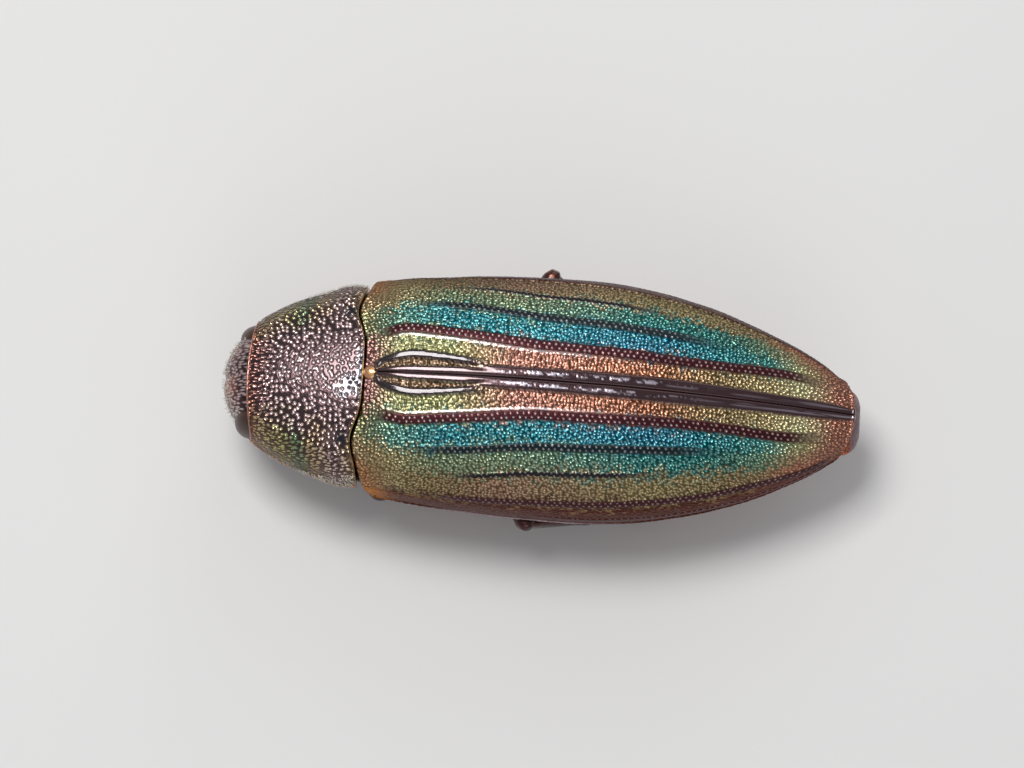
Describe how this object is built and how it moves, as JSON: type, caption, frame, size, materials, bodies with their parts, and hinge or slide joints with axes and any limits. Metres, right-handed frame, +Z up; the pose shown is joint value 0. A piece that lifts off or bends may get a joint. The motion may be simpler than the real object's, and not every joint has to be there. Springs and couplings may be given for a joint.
{
  "type": "jewel beetle",
  "caption": "Life-size jewel beetle at rest, its ridged metallic wing cases closed and its legs drawn in, for display as a museum model.",
  "frame": {"origin": "On the floor, in the body's middle plane, halfway between the head's front and the tail's end.", "axes": "+Z up. The head points to -Y and the tail to +Y. The beetle's left side is +X."},
  "size_m": [0.0074, 0.017, 0.0051],
  "materials": {
    "wing_case": "glossy metallic green-blue cuticle, banded with copper and black",
    "bronze": "glossy pitted bronze cuticle",
    "underside": "glossy copper cuticle",
    "tail": "pale satin cuticle",
    "leg": "glossy dark bronze cuticle",
    "feeler": "satin dark cuticle",
    "eye": "glossy dark grey-brown facets"
  },
  "bodies": {
    "root": {"abdomen_1": "underside", "abdomen_2": "underside", "abdomen_3": "underside", "abdomen_4": "underside", "abdomen_5": "underside", "head": "bronze", "labrum": "bronze", "left_antenna": "feeler", "left_elytron": "wing_case", "left_eye": "eye", "left_fore_coxa": "leg", "left_fore_femur": "leg", "left_fore_tarsus": "leg", "left_fore_tibia": "leg", "left_hind_coxa": "leg", "left_hind_femur": "leg", "left_hind_tarsus": "leg", "left_hind_tibia": "leg", "left_mandible": "feeler", "left_mid_coxa": "leg", "left_mid_femur": "leg", "left_mid_tarsus": "leg", "left_mid_tibia": "leg", "metathorax": "underside", "pronotum": "bronze", "prosternum": "underside", "pygidium": "tail", "right_antenna": "feeler", "right_elytron": "wing_case", "right_eye": "eye", "right_fore_coxa": "leg", "right_fore_femur": "leg", "right_fore_tarsus": "leg", "right_fore_tibia": "leg", "right_hind_coxa": "leg", "right_hind_femur": "leg", "right_hind_tarsus": "leg", "right_hind_tibia": "leg", "right_mandible": "feeler", "right_mid_coxa": "leg", "right_mid_femur": "leg", "right_mid_tarsus": "leg", "right_mid_tibia": "leg", "scutellum": "bronze"}
  },
  "joints": []
}
